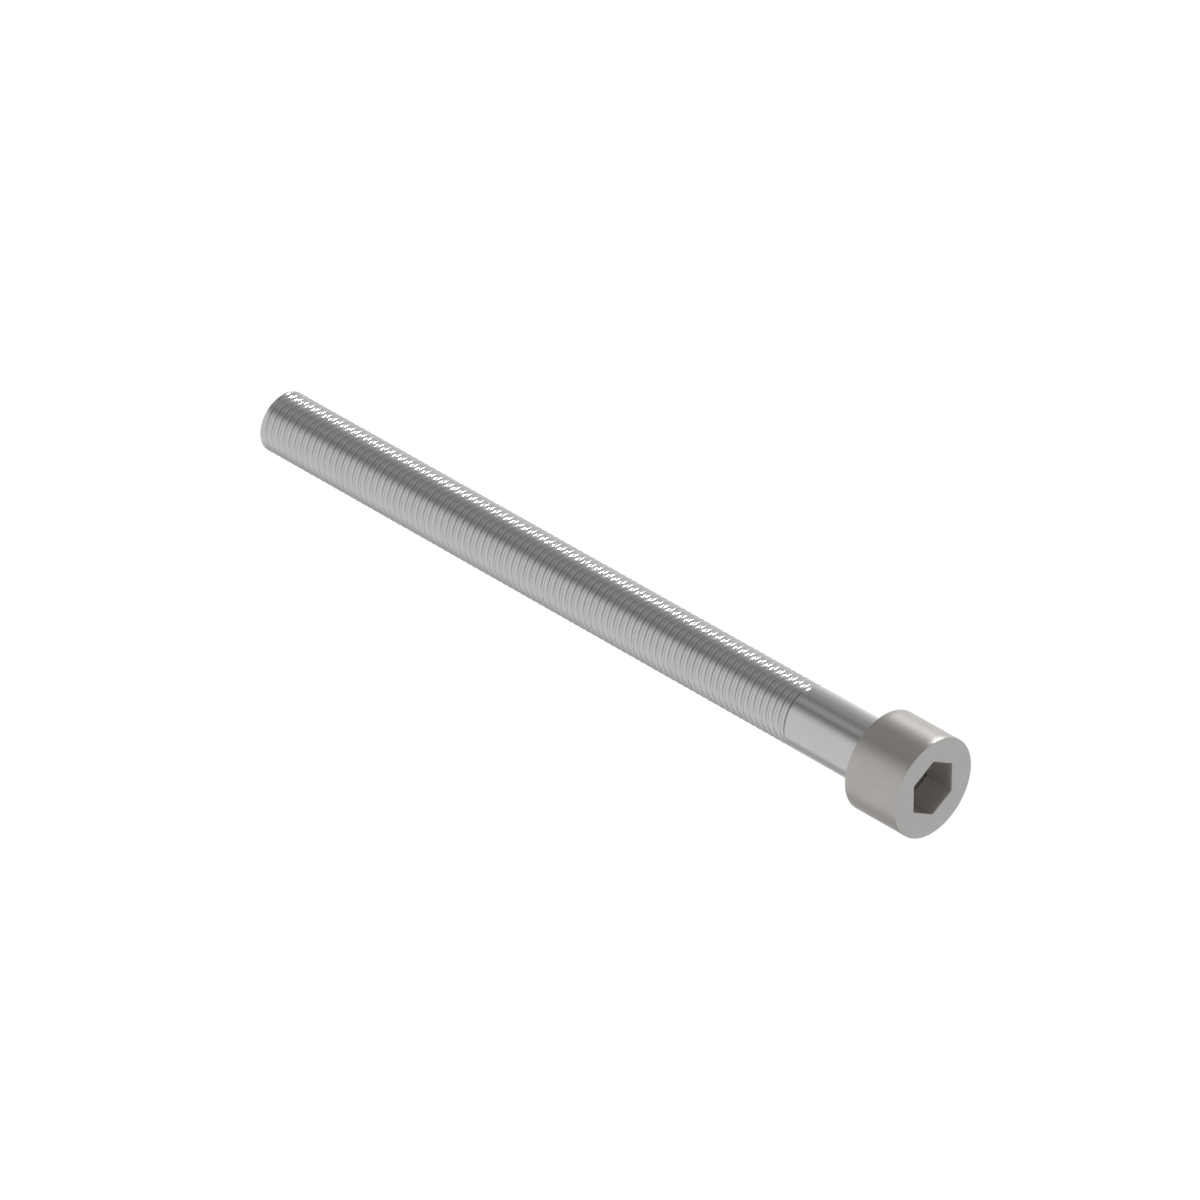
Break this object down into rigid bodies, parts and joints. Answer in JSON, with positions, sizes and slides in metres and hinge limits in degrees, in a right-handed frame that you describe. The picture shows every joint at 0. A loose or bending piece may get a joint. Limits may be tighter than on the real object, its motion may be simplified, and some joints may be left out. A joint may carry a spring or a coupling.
{
  "type": "socket head screw",
  "caption": "Long cylindrical-head screw with an internal hexagon drive, a short plain shank and a fine right-hand thread down to a flat tip.",
  "frame": {"origin": "centre of the flat tip of the thread, on the screw's axis", "axes": "+X along the axis from the tip to the head, +Z towards one corner of the hexagonal socket, +Y square to two of its flats"},
  "size_m": [0.135, 0.016, 0.016],
  "materials": {
    "satin_steel": "satin",
    "polished_steel": "polished"
  },
  "bodies": {
    "root": {"socket_head": "satin_steel", "threaded_shank": "polished_steel"}
  },
  "joints": []
}
